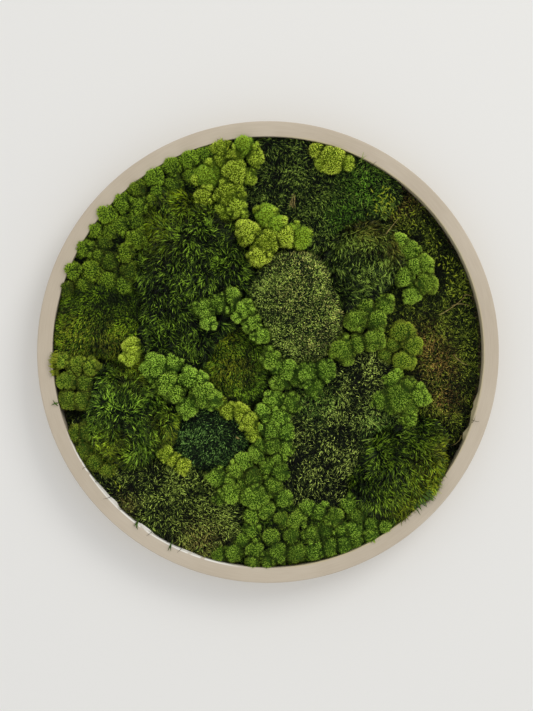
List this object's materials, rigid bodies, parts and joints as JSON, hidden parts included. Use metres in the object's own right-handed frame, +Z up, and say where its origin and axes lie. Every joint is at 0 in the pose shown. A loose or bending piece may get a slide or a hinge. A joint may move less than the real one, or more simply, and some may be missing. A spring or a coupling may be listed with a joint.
{
  "type": "round framed moss wall panel",
  "caption": "Round wall panel with a flat painted wooden ring around mounds, cushions and mats of preserved moss and reindeer lichen.",
  "frame": {"origin": "centre of the panel's back, on the wall plane", "axes": "+Y points out of the back, into the wall; the moss faces -Y; +Z is up as the panel hangs and +X is to the right seen from the front"},
  "size_m": [0.6, 0.0757, 0.6],
  "materials": {
    "painted_ring": "matte taupe paint over wood, faint grain",
    "fibreboard": "plain pressed fibreboard",
    "zinc_steel": "zinc plated, dull",
    "bed_moss": "thin dark preserved flat moss",
    "mood_moss": "preserved moss with long green strands",
    "cushion_moss": "preserved cushion moss with short olive tips",
    "dark_cushion_moss": "preserved cushion moss, dark blue-green",
    "forest_moss": "preserved forest moss with small curled leaves",
    "flat_moss": "preserved sheet moss, brownish green",
    "green_lichen": "dyed reindeer lichen, green",
    "yellow_lichen": "dyed reindeer lichen, yellow-green",
    "dark_lichen": "dyed reindeer lichen, darker green"
  },
  "bodies": {
    "root": {"backing_board": "fibreboard", "cushion_moss_centre": "cushion_moss", "cushion_moss_dark": "dark_cushion_moss", "cushion_moss_left": "cushion_moss", "cushion_moss_middle": "cushion_moss", "flat_moss_bed": "bed_moss", "flat_moss_right": "flat_moss", "forest_moss_bottom": "forest_moss", "forest_moss_centre": "forest_moss", "forest_moss_left": "forest_moss", "forest_moss_lower_left": "forest_moss", "forest_moss_top": "forest_moss", "frame_ring": "painted_ring", "hanger_nail_left": "zinc_steel", "hanger_nail_right": "zinc_steel", "hanger_plate": "zinc_steel", "lichen_bottom_left": "green_lichen", "lichen_bottom_middle": "green_lichen", "lichen_bottom_right": "green_lichen", "lichen_centre_arc": "green_lichen", "lichen_centre_column": "green_lichen", "lichen_left_chain": "green_lichen", "lichen_left_rim": "dark_lichen", "lichen_left_upper": "dark_lichen", "lichen_lower_middle": "green_lichen", "lichen_lower_right": "green_lichen", "lichen_right_arc": "green_lichen", "lichen_right_inner": "green_lichen", "lichen_right_upper": "green_lichen", "lichen_rim_lower": "green_lichen", "lichen_rim_middle": "yellow_lichen", "lichen_top_left": "yellow_lichen", "lichen_top_right": "yellow_lichen", "lichen_under_cushion": "green_lichen", "lichen_upper_dark": "dark_lichen", "lichen_upper_middle": "yellow_lichen", "lichen_yellow_chain": "yellow_lichen", "lichen_yellow_left": "yellow_lichen", "lichen_yellow_lower": "yellow_lichen", "mood_moss_lower_left": "mood_moss", "mood_moss_lower_right": "mood_moss", "mood_moss_upper_left": "mood_moss", "mood_moss_upper_right": "mood_moss"}
  },
  "joints": []
}
